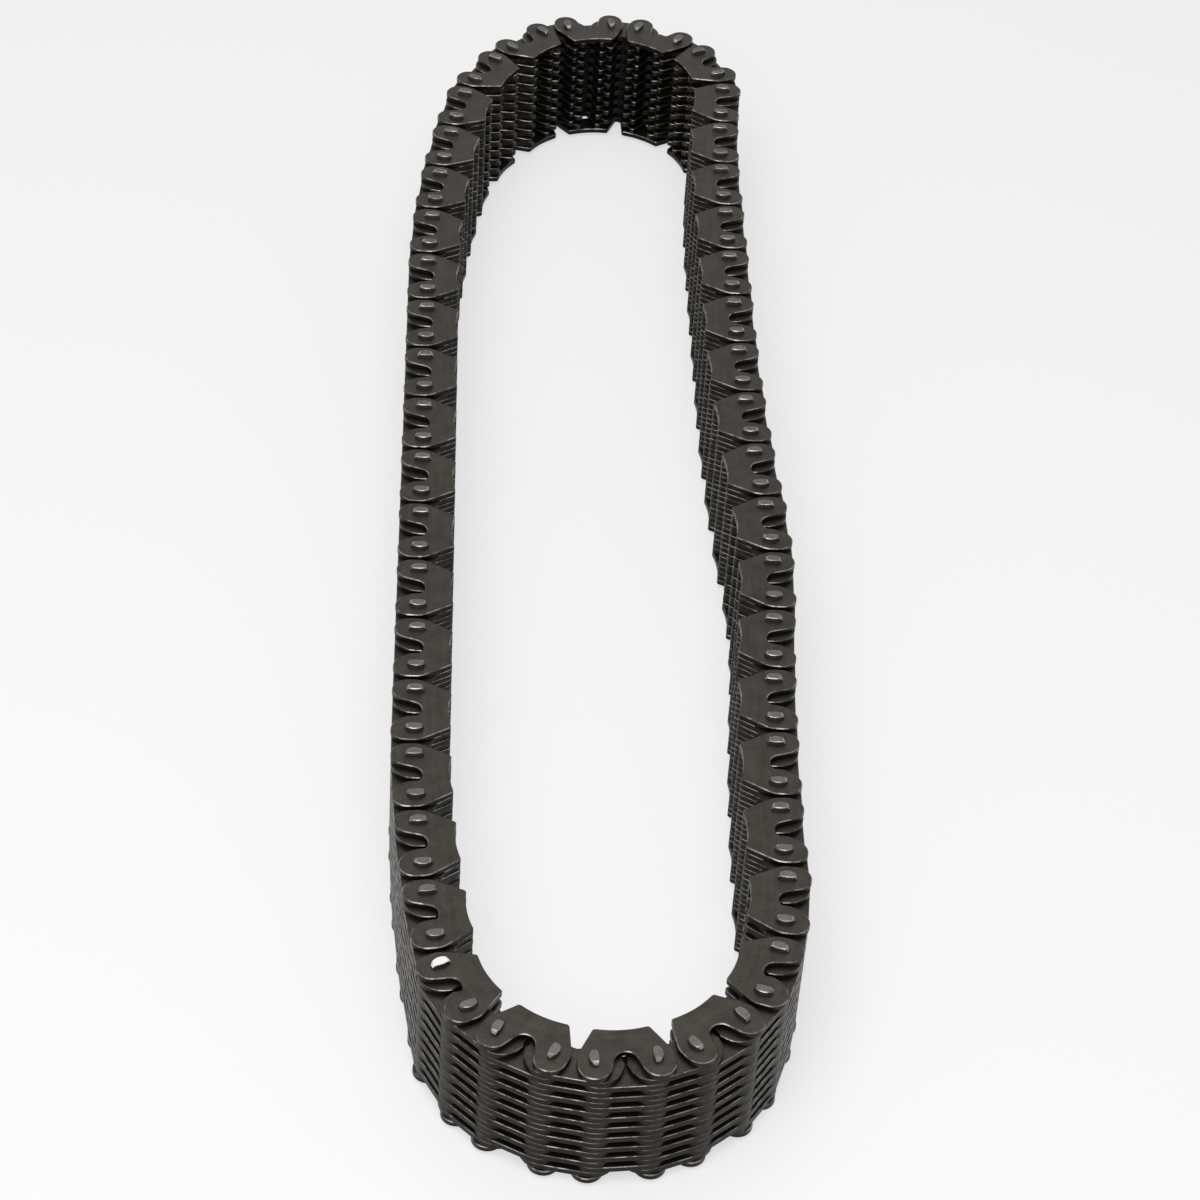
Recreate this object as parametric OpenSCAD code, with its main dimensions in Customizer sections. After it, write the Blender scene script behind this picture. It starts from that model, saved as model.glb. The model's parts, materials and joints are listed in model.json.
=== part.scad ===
// Silent (inverted tooth) chain of the rocker-pin type: an endless loop lying on its side.
// Rows of toothed plates interleave in layers. Guide rows carry the long pins and the two outer
// guide plates, inner rows carry the short rockers, and a pin rolls on a rocker at every joint.
// A row's own frame has X along the chain, Y towards the inside of the loop and Z up.
// The loop's origin is the middle of its front bend on the surface that the pin ends stand on.

/* [Chain] */
// Distance between joints
pitch = 9.525; // [9:0.005:11]
// Toothed plates in each inner row
inner_plates = 10; // [4:1:14]
// Thickness of every plate
plate_t = 1.34; // [1:0.01:1.8]
// Gap between neighbouring layers
layer_gap = 0.06; // [0.03:0.01:0.15]
// Gap between the ends of two plates in one layer on a straight run
end_gap = 0.66; // [0.5:0.02:1.2]

/* [Toothed plates] */
// Back edge below the joint line
back_depth = 4.65; // [4.4:0.05:6]
// Radius of the two back corners
back_r = 4.4; // [2.5:0.1:4.5]
// Height of the shoulder where the flank starts, above the joint line
shoulder_h = 1; // [0.2:0.1:1.6]
// Lean of the outer flank
flank_angle = 31; // [27:0.5:33]
// Height of the toe tips above the joint line
tip_h = 7.4; // [6.6:0.1:8]
// Radius of the toe tips
tip_r = 0.9; // [0.5:0.05:1]
// Lean of the inner flank
crotch_angle = 31.5; // [30:0.5:38]
// Radius at the bottom of the crotch
crotch_r = 2.7; // [1.6:0.1:3]

/* [Guide plates] */
// How much shorter a guide plate is than a toothed plate at each end
guide_short = 0.15; // [0:0.05:0.3]
// Back of the two bosses below the joint line
boss_depth = 4.8; // [4.4:0.05:5.4]
// Radius of the shoulders
guide_shoulder_r = 4.2; // [1:0.1:5]
// Radius of the arch over the notch between the bosses
notch_r = 2.2; // [1.8:0.05:2.3]
// Top of the notch above the joint line
notch_top = 1.4; // [0.8:0.1:1.6]
// Lean of the notch walls
notch_angle = 27; // [22:0.5:28]
// Height of the inner corners above the joint line
guide_h = 7.45; // [6.8:0.05:7.8]
// Depth of the hollow between the inner corners
hollow_depth = 0.65; // [0.6:0.05:0.9]
// Lean of the inner edge beside the hollow
hollow_angle = 12; // [11.5:0.5:14]
// Radius of the inner corners
guide_corner_r = 0.7; // [0.4:0.05:0.8]

/* [Pins and rockers] */
// Height of the pin section across the chain
pin_h = 3.8; // [3.2:0.1:4]
// Thickness of the pin section along the chain
pin_t = 1.9; // [1.7:0.05:2]
// Radius of the rolling face
roll_r = 6; // [4:0.1:6.5]
// Radius of the round back
pin_back_r = 2.55; // [2.3:0.05:2.7]
// Gap between the two rolling faces on a straight run
roll_gap = 0.4; // [0.3:0.02:0.5]
// Clearance of a pin in its own seat
seat_gap = 0.03; // [0.02:0.01:0.06]
// How far the pin ends stand out of the guide plates
pin_proud = 1; // [0.6:0.1:1.4]
// Bevel on the pin ends
pin_bevel = 0.5; // [0.2:0.05:0.55]
// Gap between a rocker's end and the guide plate
rocker_gap = 0.1; // [0.05:0.05:0.3]

/* [Route of the loop] */
// Bend at each joint of the tight front bend
front_bend = 17; // [15:0.5:18.5]
// Bend at each joint of the tight far bend
far_bend = 18.5; // [16:0.5:19.5]
// How far the free right run sags inwards, as a share of the sag drawn
right_sag = 1; // [0:0.1:1.4]
// How far the free left run bows outwards, as a share of the bow drawn
left_bow = 1; // [0.4:0.1:1.4]

/* [Hidden] */
$fn = 48;
plate_colour = "#46423e";
pin_colour = "#77757a";
mark_colour = "#f4f4f2";

// Stretches of the loop from the closing joint on: number of joints, bend at each one in degrees
front_route = [[9, front_bend], [3, 6.5]];
right_route = [[8, -0.6], [4, 2.2], [7, -0.6], [6, 0], [4, -1.4]];
far_route = [[1, 12], [7, far_bend], [4, 8]];
left_route = [[8, 1.3], [16, 0], [7, 1.4]];

function bends(stretches, share = 1) = [for (s = stretches) for (i = [1:s[0]]) share * s[1]];
function sum(list, i = 0) = i == len(list) - 1 ? list[i] : list[i] + sum(list, i + 1);
function direction(angle) = [cos(angle), sin(angle)];
function normal(angle) = [-sin(angle), cos(angle)];
function running(list, start) = [for (i = 0, t = start; i <= len(list);
    t = i < len(list) ? t + list[i] : t, i = i + 1) t];

joint_bends = concat(bends(front_route), bends(right_route, right_sag), bends(far_route),
    bends(left_route, left_bow));
rows = len(joint_bends);
// Every joint takes the same share of what the bends lack to a full turn
bend_share = (360 - sum(joint_bends)) / rows;
open_headings = running([for (i = [1:rows - 1]) joint_bends[i] + bend_share], 0);

// The gap that is left at the end of the loop is shared out by turning every row a little
function closed(headings, rounds) = rounds == 0 ? headings : let (
    gap = sum([for (h = headings) direction(h)]),
    xx = sum([for (h = headings) normal(h)[0] * normal(h)[0]]),
    xy = sum([for (h = headings) normal(h)[0] * normal(h)[1]]),
    yy = rows - xx,
    share = [xy * gap[1] - yy * gap[0], xy * gap[0] - xx * gap[1]] / (xx * yy - xy * xy)
) closed([for (h = headings) h + share * normal(h) * 180 / PI], rounds - 1);

closing_rounds = 4;
headings = closed(open_headings, closing_rounds);
joints = running([for (h = headings) pitch * direction(h)], [0, 0]);

// Middle of the circle that a bend's rows lie round, seen from the row at its middle
function bend_middle(row, bend) = (joints[row] + joints[row + 1]) / 2
    + pitch / (2 * tan(bend / 2)) * normal(headings[row]);
front_row = floor(front_route[0][0] / 2);
far_row = len(bends(front_route)) + len(bends(right_route)) + far_route[0][0] + floor(far_route[1][0] / 2);
front_middle = bend_middle(front_row, front_bend);
far_middle = bend_middle(far_row, far_bend);
loop_axis = far_middle - front_middle;
loop_angle = 90 - atan2(loop_axis[1], loop_axis[0]);
function spin(p, angle) = [p[0] * cos(angle) - p[1] * sin(angle), p[0] * sin(angle) + p[1] * cos(angle)];
turns = [for (h = headings) h + loop_angle];
middles = [for (i = [0:rows - 1]) spin((joints[i] + joints[i + 1]) / 2 - front_middle, loop_angle)];

// Stack of layers: guide rows fill the even layers and inner rows the odd ones
layers = 2 * inner_plates + 1;
layer_pitch = plate_t + layer_gap;
stack_h = layers * layer_pitch - layer_gap;
pin_length = stack_h + 2 * pin_proud;
rocker_length = stack_h - 2 * (plate_t + rocker_gap);
half_pitch = pitch / 2;
plate_end = pitch - end_gap / 2;
guide_end = plate_end - guide_short;

// Arcs reach a hair past the edges beside them, so that the two cross instead of only touching
arc_bite = 0.002;
// Corner of an outline: where its arc starts and ends, the arc's middle, radius and turn
function unit(v) = v / norm(v);
function arc_corner(points, i) = let (
    n = len(points),
    here = [points[i][0], points[i][1]],
    before = points[(i + n - 1) % n],
    after = points[(i + 1) % n],
    way_in = unit(here - [before[0], before[1]]),
    way_out = unit([after[0], after[1]] - here),
    turn = atan2(way_in[0] * way_out[1] - way_in[1] * way_out[0], way_in * way_out),
    r = points[i][2],
    reach = r * tan(abs(turn) / 2),
    start = here - reach * way_in
) [start, here + reach * way_out, start + sign(turn) * r * [-way_in[1], way_in[0]], r, turn];

module rounded(points) {
    corners = [for (i = [0:len(points) - 1]) arc_corner(points, i)];
    difference() {
        union() {
            polygon([for (c = corners) each c[3] > 0 ? [c[0], c[1]] : [c[0]]]);
            for (c = corners) if (c[3] > 0 && c[4] > 0) translate(c[2]) circle(c[3] + arc_bite);
        }
        for (c = corners) if (c[3] > 0 && c[4] < 0) translate(c[2]) circle(c[3] + arc_bite);
    }
}

function mirrored(half) = concat(half, [for (i = [len(half) - 1:-1:0]) [-half[i][0], half[i][1], half[i][2]]]);
function without_twin(points, i) = [for (k = [0:len(points) - 1]) if (k != i) points[k]];

// Toothed plate: the toe's tip circle touches both flanks, and the inner flanks meet in the crotch
flank_normal = direction(flank_angle);
crotch_normal = [-cos(crotch_angle), sin(crotch_angle)];
shoulder = [plate_end, shoulder_h];
tip_y = tip_h - tip_r;
tip_x = (shoulder * flank_normal - tip_r - tip_y * flank_normal[1]) / flank_normal[0];
toe = [tip_x, tip_y] + tip_r * (flank_normal + crotch_normal) / (1 + flank_normal * crotch_normal);
crotch_y = tip_y + (tip_r + tip_x * crotch_normal[0]) / crotch_normal[1];
tooth_half = [
    [plate_end, -back_depth, back_r],
    [plate_end, shoulder_h, 0],
    [toe[0], toe[1], tip_r],
    [0, crotch_y, crotch_r]
];
tooth_points = without_twin(mirrored(tooth_half), len(tooth_half));

// Guide plate: a shallow hollow at the inside and a notch at the back, between two round bosses that
// touch the end wall, the notch wall and the line of their depth
guide_corner_x = guide_end - (guide_h - shoulder_h) * tan(flank_angle);
hollow_fall = guide_corner_x * tan(hollow_angle);
hollow_r = (hollow_fall - hollow_depth) / (1 / cos(hollow_angle) - 1);
notch_y = notch_top + notch_r * (1 / sin(notch_angle) - 1);
boss_room = guide_end * cos(notch_angle) - (boss_depth + notch_y) * sin(notch_angle);
boss_r = boss_room / (1 + cos(notch_angle) - sin(notch_angle));
guide_half = [
    [0, notch_y, notch_r],
    [guide_end, notch_y - guide_end / tan(notch_angle), boss_r],
    [guide_end, shoulder_h, guide_shoulder_r],
    [guide_corner_x, guide_h, guide_corner_r],
    [0, guide_h - hollow_fall, hollow_r]
];
guide_points = without_twin(without_twin(mirrored(guide_half), len(guide_half)), 2 * len(guide_half) - 2);

// Section of a row's own pin at its end joint, with the rolling face towards the row's middle
pin_reach = roll_gap / 2 + pin_t;
pin_back_x = pin_reach - pin_back_r;
// Shapes of a row are turned by their points, one end with side 1 and the other with side -1
function turned(points, angle) = [for (p = points) concat(spin(p, angle), p[2])];
module at_joint(x, side, angle) { translate(spin([side * (half_pitch + x), 0], angle)) children(); }

module pin_section(side, angle, grow = 0) {
    half_h = pin_h / 2 + grow;
    intersection() {
        at_joint(roll_gap / 2 + roll_r, side, angle) circle(roll_r + grow);
        at_joint(pin_back_x, side, angle) circle(pin_back_r + grow);
        at_joint(0, side, angle) polygon([
            for (p = [[0, -half_h], [2 * pin_reach, -half_h], [2 * pin_reach, half_h], [0, half_h]])
                spin([side * p[0], p[1]], angle)
        ]);
    }
}

// Toothed plate: each round opening seats the back of the row's own pin, and the pin of the next row
// swings in the room that is left
module tooth_plate(angle) {
    linear_extrude(plate_t) difference() {
        rounded(turned(tooth_points, angle));
        for (side = [-1, 1]) at_joint(pin_back_x, side, angle) circle(pin_back_r + seat_gap);
    }
}

module guide_plate(angle) {
    linear_extrude(plate_t) difference() {
        rounded(turned(guide_points, angle));
        for (side = [-1, 1]) pin_section(side, angle, seat_gap);
    }
}

// Long pin with its ends bevelled across the chain
module long_pin(side, angle) {
    half_h = pin_h / 2;
    intersection() {
        linear_extrude(pin_length) pin_section(side, angle);
        rotate([90, 0, angle + 90]) linear_extrude(2 * pitch, center = true) polygon([
            [-half_h + pin_bevel, 0],
            [half_h - pin_bevel, 0],
            [half_h, pin_bevel],
            [half_h, pin_length - pin_bevel],
            [half_h - pin_bevel, pin_length],
            [-half_h + pin_bevel, pin_length],
            [-half_h, pin_length - pin_bevel],
            [-half_h, pin_bevel]
        ]);
    }
}

module rocker(side, angle) {
    translate([0, 0, (pin_length - rocker_length) / 2]) linear_extrude(rocker_length) pin_section(side, angle);
}

module at_row(i) { translate(middles[i]) children(); }
module on_layer(k) { translate([0, 0, pin_proud + k * layer_pitch]) children(); }

// Guide row: two guide plates, toothed plates on the even layers between them and two long pins
module guide_row(i) {
    color(plate_colour) for (k = [0, layers - 1]) on_layer(k) guide_plate(turns[i]);
    color(plate_colour) for (k = [2:2:layers - 3]) on_layer(k) tooth_plate(turns[i]);
    color(pin_colour) long_pin(1, turns[i]);
    if (i > 0) color(pin_colour) long_pin(-1, turns[i]);
}

// Inner row: toothed plates on the odd layers and two rockers
module inner_row(i) {
    color(plate_colour) for (k = [1:2:layers - 2]) on_layer(k) tooth_plate(turns[i]);
    color(pin_colour) rocker(-1, turns[i]);
    if (i < rows - 1) color(pin_colour) rocker(1, turns[i]);
}

module chain_row(i) {
    at_row(i) {
        if (i % 2 == 0) guide_row(i);
        else inner_row(i);
    }
}

// The rows are taken in threes: two that stay in line and turn together, then one by itself
pair_rows = 2;
group_rows = pair_rows + 1;
groups = rows / group_rows;
function two_digits(i) = str(i < 9 ? "0" : "", i + 1);
function pair_name(i) = str("row_pair_", two_digits(i));
function single_name(i) = str("single_row_", two_digits(i));

module row_pair(i) { for (k = [0:pair_rows - 1]) chain_row(group_rows * i + k); }
module single_row(i) { chain_row(group_rows * i + pair_rows); }

// The pin and rocker that go in last and close the loop; the pin's end carries a white mark
module closing_pin() { color(mark_colour) at_row(0) long_pin(-1, turns[0]); }
module closing_rocker() { color(pin_colour) at_row(rows - 1) rocker(1, turns[rows - 1]); }

for (i = [0:groups - 1]) row_pair(i);
for (i = [0:groups - 1]) single_row(i);
closing_pin();
closing_rocker();
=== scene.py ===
"""Silent chain lying on its side: stacked plates on rocker joints, with the finish of black steel."""

import json
import math

import bmesh
import bpy
from bpy.props import FloatProperty, FloatVectorProperty, IntProperty, PointerProperty
from mathutils import Matrix, Vector

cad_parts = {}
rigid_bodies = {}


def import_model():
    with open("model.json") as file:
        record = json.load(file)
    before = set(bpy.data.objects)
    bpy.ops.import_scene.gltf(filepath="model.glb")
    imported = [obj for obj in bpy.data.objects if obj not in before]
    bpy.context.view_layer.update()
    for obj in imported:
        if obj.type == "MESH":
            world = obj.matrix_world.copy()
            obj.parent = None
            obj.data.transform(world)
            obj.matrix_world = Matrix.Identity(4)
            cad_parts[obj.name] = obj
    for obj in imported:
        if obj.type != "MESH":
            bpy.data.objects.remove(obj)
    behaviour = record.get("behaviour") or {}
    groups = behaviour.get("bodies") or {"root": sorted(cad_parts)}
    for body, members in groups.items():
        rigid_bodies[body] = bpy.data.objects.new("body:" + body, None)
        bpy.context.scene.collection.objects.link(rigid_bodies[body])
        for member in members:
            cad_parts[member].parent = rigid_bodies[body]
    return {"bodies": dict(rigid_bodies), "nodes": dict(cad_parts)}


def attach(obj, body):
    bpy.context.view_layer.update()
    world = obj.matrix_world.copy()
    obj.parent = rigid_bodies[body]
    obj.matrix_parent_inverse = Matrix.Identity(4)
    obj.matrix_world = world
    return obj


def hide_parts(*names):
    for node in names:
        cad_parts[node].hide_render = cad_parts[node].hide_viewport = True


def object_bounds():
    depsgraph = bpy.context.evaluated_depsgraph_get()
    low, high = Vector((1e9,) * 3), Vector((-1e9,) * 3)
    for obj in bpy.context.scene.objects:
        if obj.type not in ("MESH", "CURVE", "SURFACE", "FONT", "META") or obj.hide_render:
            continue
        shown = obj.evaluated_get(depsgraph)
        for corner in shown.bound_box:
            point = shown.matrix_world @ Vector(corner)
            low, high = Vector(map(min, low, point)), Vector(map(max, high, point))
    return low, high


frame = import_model()
cad_box = [list(corner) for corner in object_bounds()]

bl_info = {
    "name": "Silent chain",
    "version": (1, 0, 0),
    "blender": (4, 5, 0),
    "location": "View3D > Sidebar > Chain",
    "description": "Dresses the rows of a silent chain and sets them on a studio floor",
    "category": "Object",
}

MM = 0.001

# Distances below this count as none, in metres
TINY = 1e-9

# Of every three rows, two turn together as a row pair and one is a body by itself
ROWS_IN_GROUP = 3
PAIR_ROWS = 2

# Shares of painted shade on a plate's walls, and of wear on its edges
BACK_SHADE = 0.64
TIP_SHADE = 0.52
TIGHT_BACK_WEAR = 0.3

# Turns of a surface from which its edge is drawn sharp
PLATE_SHARP = math.radians(28)
PIN_SHARP = math.radians(30)

# How far a pin's end faces and slanted faces look along the pin, as a share
PIN_END = 0.5
PIN_SLANT_LOW = 0.2
PIN_SLANT_HIGH = 0.95

# A mitred corner moves by no more than the inset's depth divided by this
MITRE_LIMIT = 0.3

# Depth of the steel's grain, how far it changes the roughness, and how long its rolling lines are drawn
GRAIN_DEPTH = 0.02 * MM
GRAIN_SHEEN = 0.1
LINE_STRETCH = (0.06, 1.0, 1.0)

# Step and span that set neighbouring rows' grain well apart
SHADE_STEP = 0.618034
SHADE_SPAN = 9.0

# Numbers of a mix node's two values and of its result
MIX_SOCKETS = {"FLOAT": (2, 3, 0), "RGBA": (6, 7, 2)}


def length(name, description, mm):
    """A size, given in millimetres."""
    return FloatProperty(
        name=name,
        description=description,
        default=mm * MM,
        min=0.0,
        precision=5,
        subtype="DISTANCE",
        unit="LENGTH",
    )


def angle(name, description, degrees):
    """A slope, given in degrees."""
    return FloatProperty(
        name=name,
        description=description,
        default=math.radians(degrees),
        subtype="ANGLE",
        unit="ROTATION",
    )


def share(name, description, value):
    """A share from 0 to 1."""
    return FloatProperty(
        name=name, description=description, default=value, min=0.0, max=1.0, subtype="FACTOR"
    )


def power(name, description, watts):
    """The power of a lamp, in watts."""
    return FloatProperty(name=name, description=description, default=watts, min=0.0, unit="POWER")


def colour(name, description, rgb):
    """A colour, as linear red, green and blue."""
    return FloatVectorProperty(
        name=name, description=description, size=3, default=rgb, min=0.0, max=1.0, subtype="COLOR"
    )


def position(name, description, metres):
    """A place in space, in metres."""
    return FloatVectorProperty(
        name=name, description=description, size=3, default=metres, subtype="TRANSLATION", unit="LENGTH"
    )


def direction(name, description, way):
    """A direction in space."""
    return FloatVectorProperty(name=name, description=description, size=3, default=way, subtype="DIRECTION")


class ChainPlates(bpy.types.PropertyGroup):
    """Sizes of the toothed plates and the guide plates"""

    pitch: length("Pitch", "From joint to joint", 9.525)
    inner_plates: IntProperty(
        name="Inner plates", description="Toothed plates in an inner row", default=10, min=2
    )
    thickness: length("Thickness", "Thickness of every plate", 1.34)
    layer_gap: length("Layer gap", "Room between two layers of plates", 0.06)
    end_gap: length("End gap", "Room between two plates of one layer, end to end", 0.66)
    back_depth: length("Back depth", "From the joint line to a toothed plate's back", 4.65)
    back_free: length("Free back", "Half of the back edge that stands free between its neighbours", 3.3)
    back_round: length("Back round", "Radius of a toothed plate's back corners", 4.4)
    shoulder: length("Shoulder", "From the joint line to where the end wall turns into the flank", 1.0)
    flank_slope: angle("Flank slope", "Slope of a tooth's outer flank", 31)
    tip_height: length("Tip height", "From the joint line to the tips of the teeth", 7.4)
    tip_round: length("Tip round", "Radius of the teeth's tips", 0.9)
    crotch_slope: angle("Crotch slope", "Slope of a tooth's inner flank", 31.5)
    crotch_round: length("Crotch round", "Radius between the two teeth", 2.7)
    guide_short: length("Guide shortening", "How much shorter a guide plate is at each end", 0.15)
    boss_depth: length("Boss depth", "From the joint line to the back of a guide plate's bosses", 4.8)
    guide_shoulder_round: length("Guide shoulder round", "Radius of a guide plate's shoulders", 4.2)
    notch_round: length("Notch round", "Radius at the top of a guide plate's notch", 2.2)
    notch_top: length("Notch top", "From the joint line to the top of the notch", 1.4)
    notch_slope: angle("Notch slope", "Slope of the notch's walls", 19)
    guide_height: length("Guide height", "From the joint line to a guide plate's inner corners", 7.45)
    hollow_depth: length("Hollow depth", "Depth of the hollow at a guide plate's inner edge", 0.65)
    hollow_slope: angle("Hollow slope", "Slope of that hollow at its ends", 12)
    guide_corner_round: length("Guide corner round", "Radius of a guide plate's inner corners", 0.7)
    tooth_edge: length("Tooth edge", "Worn slant of a toothed plate's edges", 0.12)
    guide_edge: length("Guide edge", "Worn slant of a guide plate's edges", 0.18)


class ChainPins(bpy.types.PropertyGroup):
    """Sizes of the long pins and the rockers"""

    height: length("Height", "Pin size across the chain's run", 3.8)
    thickness: length("Thickness", "Pin size along the chain's run", 1.9)
    roll_round: length("Rolling face", "Radius of the face that rolls on its twin", 6.0)
    back_round: length("Pin back", "Radius of the back that sits in the plates", 2.55)
    roll_gap: length("Rolling gap", "Room between a pin and its rocker", 0.4)
    seat_gap: length("Seat gap", "Room round a pin in its plate", 0.03)
    proud: length("Proud ends", "How far a long pin stands out of the guide plates", 1.0)
    bevel: length("Bevel", "Slanted ends of a long pin's head", 0.5)
    edge: length("Edge", "Rubbed bevel all round a head", 0.15)
    rocker_gap: length("Rocker gap", "Room between a rocker's end and the guide plate", 0.1)


class ChainFinish(bpy.types.PropertyGroup):
    """Colours of the black steel, the pin heads and the mark"""

    oxide: colour("Black oxide", "Plate faces", (0.0545, 0.048, 0.0402))
    oxide_dark: colour("Dark oxide", "Darker patches of the plate faces", (0.0335, 0.0296, 0.025))
    # Painted shade: a near-black colour laid on the plates' walls and between their teeth, where shade
    # falls
    painted_shade: colour("Painted shade", "Oil and darkness on the walls between the teeth", (0.004, 0.0037, 0.0034))
    bare_steel: colour("Bare steel", "Steel that shows where an edge is worn", (0.27, 0.258, 0.244))
    pin_steel: colour("Pin steel", "Heads of the long pins", (0.138, 0.128, 0.122))
    pin_rim: colour("Pin rim", "Rubbed rims of the heads", (0.30, 0.29, 0.28))
    pin_dark: colour("Dark pin steel", "Darker patches of the heads", (0.095, 0.088, 0.084))
    mark: colour("Mark", "Paint on the closing pin's end", (0.90, 0.90, 0.89))
    edge_wear: share("Edge wear", "How much of the plates' edges is worn bright", 0.8)
    rim_wear: share("Rim wear", "How much of the pin heads' rims is rubbed bright", 0.9)


class ChainStudio(bpy.types.PropertyGroup):
    """Floor, lamps and camera"""

    floor: colour("Floor", "Colour of the floor", (0.905, 0.905, 0.905))
    floor_whitening: share("Floor whitening", "How far the floor looks whiter than it is lit", 0.6)
    floor_near: length("Near floor", "How far out the floor keeps that whitening", 250)
    floor_far: length("Far floor", "How far out the floor turns white", 1300)
    floor_span: length("Floor span", "Width of the floor", 8000)
    world_light: share("World light", "Strength of the even light all round", 0.3)
    key_power: power("Key lamp", "Power of the lamp over the chain", 2.4)
    key_width: length("Key lamp width", "Width of the lamp over the chain", 900)
    key_depth: length("Key lamp depth", "Depth of the lamp over the chain", 600)
    key_place: position("Key lamp place", "From the chain's middle to the lamp", (-0.1, 0.1, 0.9))
    front_power: power("Front lamp", "Power of the lamp in front of the chain", 3.95)
    front_width: length("Front lamp width", "Side of the square lamp in front", 600)
    front_place: position("Front lamp place", "From the chain's middle to the lamp", (-0.1, -0.5, 0.64))
    camera_place: position("Camera place", "Where the camera stands", (-0.02466, -0.43102, 0.47992))
    camera_look: direction("Camera look", "Where the camera looks", (0.03382, 0.76026, -0.64874))
    camera_right: direction("Camera right", "Way of the picture's right side", (0.99845, 0.00301, 0.05557))
    focal_length: FloatProperty(
        name="Focal length",
        description="Lens of the camera, in millimetres",
        default=98.52,
        subtype="DISTANCE_CAMERA",
    )


# Rows of the chain, read from the frame


def body_of_row(row):
    """Name of the body that holds a row."""
    group, place = divmod(row, ROWS_IN_GROUP)
    kind = "row_pair" if place < PAIR_ROWS else "single_row"
    return f"{kind}_{group + 1:02d}"


def rows_of_bodies(count):
    """Numbers of the rows that each body holds."""
    found = {}
    for row in range(count):
        found.setdefault(body_of_row(row), []).append(row)
    return found


def pin_heads(node, level=0.01 * MM, span=4.0 * MM):
    """Middles of the pin heads on top of a node: points at its top level, grouped by the head's span."""
    places = {tuple(round(c, 6) for c in v.co) for v in frame["nodes"][node].data.vertices}
    top = max(z for _, _, z in places)
    heads = []
    for x, y, z in sorted(places):
        if top - z > level:
            continue
        here = Vector((x, y))
        for head in heads:
            if (here - head[0]).length < span:
                head.append(here)
                break
        else:
            heads.append([here])
    return [sum(head, Vector((0.0, 0.0))) / len(head) for head in heads]


def chain_rows(pitch):
    """Middle and heading of each row, in order round the loop."""
    rows = ROWS_IN_GROUP * sum(name.startswith("row_pair") for name in frame["bodies"])
    guides = []
    for row in range(0, rows, 2):
        heads = pin_heads(body_of_row(row))
        if row == 0:
            heads += pin_heads("closing_pin")
        if len(heads) != 2:
            raise RuntimeError(f"row {row} has {len(heads)} pin heads")
        guides.append(heads)
    middles = [(a + b) / 2 for a, b in guides]
    places = []
    for i, (a, b) in enumerate(guides):
        onward = middles[(i + 1) % len(middles)] - middles[i]
        along = (b - a).normalized()
        if along.dot(onward) < 0:
            along = -along
        places.append((middles[i], along))
    found = []
    for i, (middle, along) in enumerate(places):
        after, after_along = places[(i + 1) % len(places)]
        start = middle + along * pitch / 2
        end = after - after_along * pitch / 2
        across = end - start
        found.append((middle, math.atan2(along.y, along.x)))
        found.append(((start + end) / 2, math.atan2(across.y, across.x)))
    return found


# Outlines of the plates and pins, in a row's own frame: X along the run, Y towards the teeth


def rounded(corners):
    """Outline through corners of (x, y, radius, steps)."""
    outline = []
    for i, (x, y, radius, steps) in enumerate(corners):
        here = Vector((x, y))
        if radius == 0:
            outline.append(here)
            continue
        way_in = (here - Vector(corners[i - 1][:2])).normalized()
        way_out = (Vector(corners[(i + 1) % len(corners)][:2]) - here).normalized()
        turn = math.atan2(way_in.cross(way_out), way_in.dot(way_out))
        start = here - way_in * radius * math.tan(abs(turn) / 2)
        side = math.copysign(radius, turn)
        middle = start + Vector((-way_in.y, way_in.x)) * side
        for k in range(steps + 1):
            outline.append(middle + Matrix.Rotation(turn * k / steps, 2) @ (start - middle))
    return outline


def mirrored(half):
    """A half outline and its mirror image; a corner on the axis is kept once."""
    twin = [(-x, *rest) for x, *rest in reversed(half)]
    return half + [corner for corner in twin if abs(corner[0]) > TINY]


def toothed_outline(plates):
    """Outline of a toothed plate: its back, then the two teeth."""
    end = plates.pitch - plates.end_gap / 2
    flank = Vector((math.cos(plates.flank_slope), math.sin(plates.flank_slope)))
    inner = Vector((-math.cos(plates.crotch_slope), math.sin(plates.crotch_slope)))
    tip_y = plates.tip_height - plates.tip_round
    tip_x = (Vector((end, plates.shoulder)).dot(flank) - plates.tip_round - tip_y * flank.y) / flank.x
    toe = Vector((tip_x, tip_y)) + plates.tip_round * (flank + inner) / (1 + flank.dot(inner))
    crotch = tip_y + (plates.tip_round + tip_x * inner.x) / inner.y
    half = [
        (plates.back_free, -plates.back_depth, 0, 0),
        (end, -plates.back_depth, plates.back_round, 5),
        (end, plates.shoulder, 0, 0),
        (toe.x, toe.y, plates.tip_round, 3),
        (0, crotch, plates.crotch_round, 4),
    ]
    return rounded(mirrored(half))


def guide_outline(plates):
    """Outline of a guide plate: two bosses with the notch between them, and a hollow inner edge."""
    end = plates.pitch - plates.end_gap / 2 - plates.guide_short
    corner_x = end - (plates.guide_height - plates.shoulder) * math.tan(plates.flank_slope)
    fall = corner_x * math.tan(plates.hollow_slope)
    hollow_round = (fall - plates.hollow_depth) / (1 / math.cos(plates.hollow_slope) - 1)
    notch_y = plates.notch_top + plates.notch_round * (1 / math.sin(plates.notch_slope) - 1)
    sine, cosine = math.sin(plates.notch_slope), math.cos(plates.notch_slope)
    boss_round = (end * cosine - (plates.boss_depth + notch_y) * sine) / (1 + cosine - sine)
    half = [
        (0, notch_y, plates.notch_round, 12),
        (end, notch_y - end / math.tan(plates.notch_slope), boss_round, 14),
        (end, plates.shoulder, plates.guide_shoulder_round, 5),
        (corner_x, plates.guide_height, plates.guide_corner_round, 4),
        (0, plates.guide_height - fall, hollow_round, 8),
    ]
    return rounded(mirrored(half))


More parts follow.
